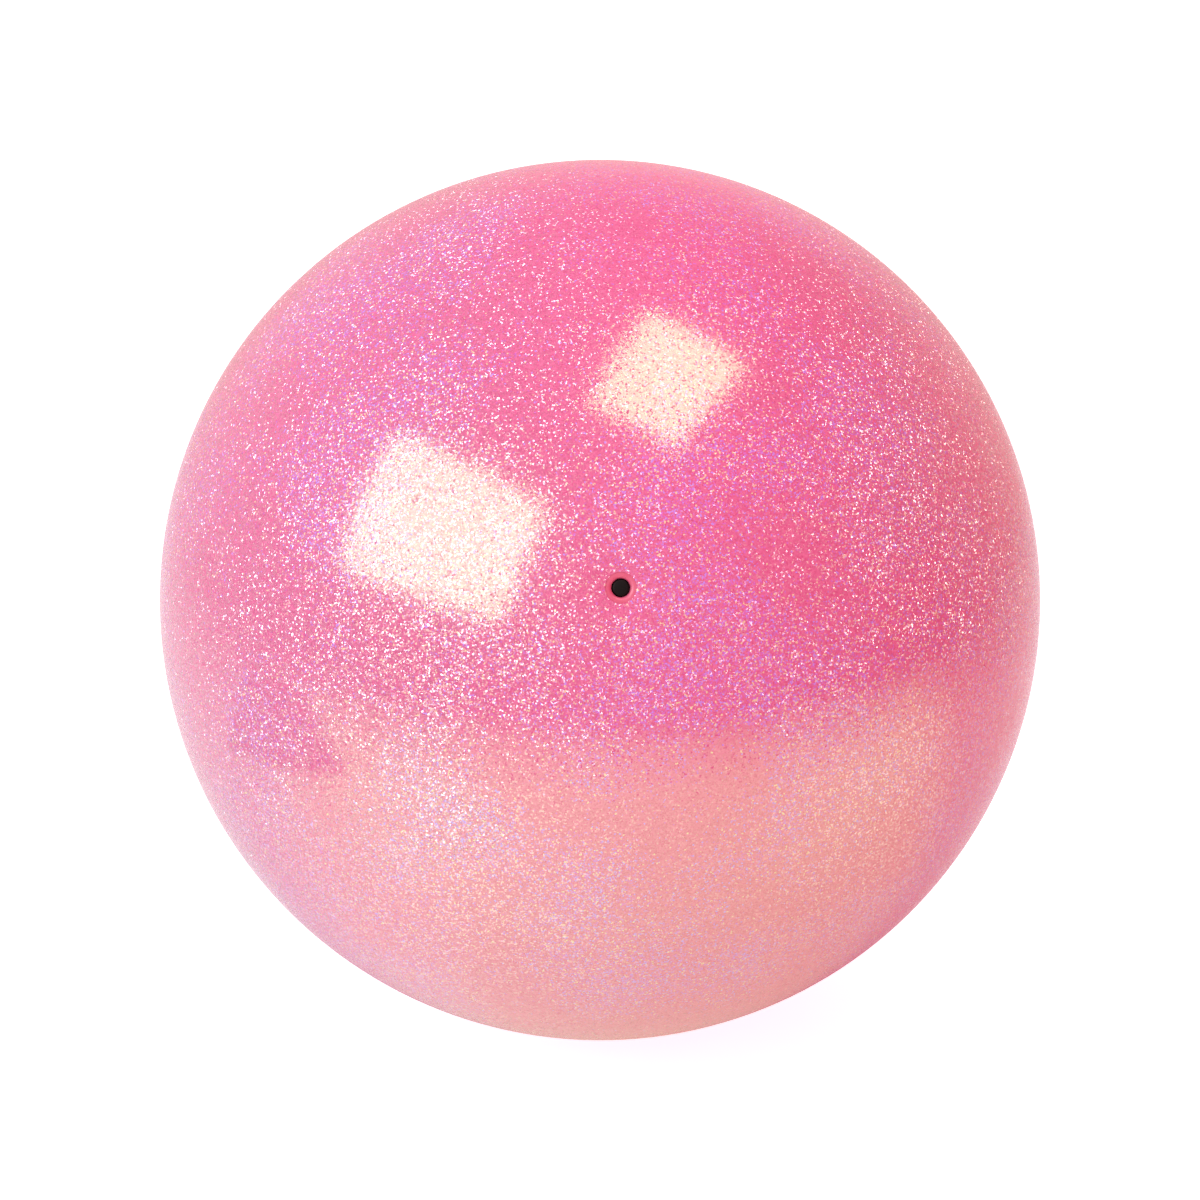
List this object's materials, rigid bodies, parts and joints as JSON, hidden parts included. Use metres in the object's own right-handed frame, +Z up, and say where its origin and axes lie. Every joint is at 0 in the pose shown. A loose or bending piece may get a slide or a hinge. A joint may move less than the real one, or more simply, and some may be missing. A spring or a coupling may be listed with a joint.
{
  "type": "rhythmic gymnastics ball",
  "caption": "Hollow round rubber ball with a glossy glitter skin and a small inflating valve closed by a pull-out plug, for rhythmic gymnastics.",
  "frame": {"origin": "centre of the ball", "axes": "+Z up as the ball lies; the valve's axis lies in the YZ plane and points out of the front, towards -Y and 22.5 degrees up"},
  "size_m": [0.18, 0.18, 0.18],
  "materials": {
    "glitter_skin": "gloss",
    "cover_rubber": "satin",
    "bladder_rubber": "matte",
    "seat_rubber": "matte",
    "core_rubber": "matte",
    "plug_rubber": "satin"
  },
  "bodies": {
    "ball": {"glitter_skin": "glitter_skin", "rubber_cover": "cover_rubber", "air_bladder": "bladder_rubber", "valve_seat": "seat_rubber", "valve_core": "core_rubber"},
    "plug": {"valve_plug": "plug_rubber"}
  },
  "joints": [
    {"name": "plug_pull", "type": "slide", "parent": "ball", "child": "plug", "axis": [0, -0.9239, 0.3827], "range_m": [0, 0.014]}
  ]
}
